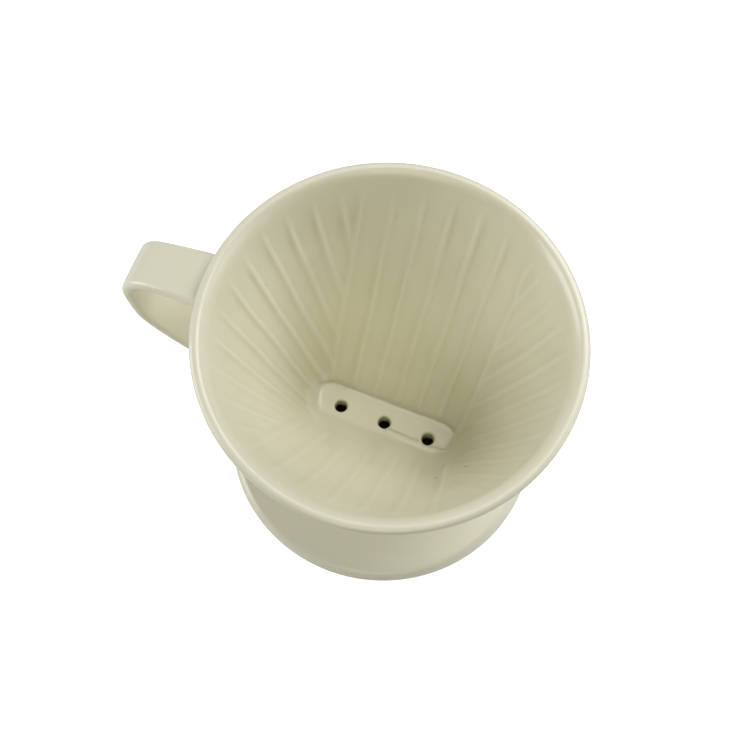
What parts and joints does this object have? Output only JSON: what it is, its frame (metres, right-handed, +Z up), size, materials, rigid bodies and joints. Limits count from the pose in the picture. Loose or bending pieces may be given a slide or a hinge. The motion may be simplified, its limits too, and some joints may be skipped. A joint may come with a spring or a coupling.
{
  "type": "pour over dripper",
  "caption": "Glazed ceramic pour over coffee dripper: ribbed wedge cone with a slotted floor, round seating flange, locating collar and strap handle.",
  "frame": {"origin": "on the standing plane, under the middle of the whole length with the handle, midway across the width", "axes": "+X along the slot and away from the handle, +Y across the slot, +Z up through the cone's mouth"},
  "size_m": [0.143, 0.116, 0.0926],
  "materials": {
    "cone_glaze": "glossy ivory glaze",
    "flange_glaze": "glossy ivory glaze",
    "collar_clay": "glazed sides and a bare fired foot",
    "handle_glaze": "glossy ivory glaze"
  },
  "bodies": {
    "root": {"filter_cone": "cone_glaze", "base_flange": "flange_glaze", "locating_collar": "collar_clay", "handle": "handle_glaze"}
  },
  "joints": []
}
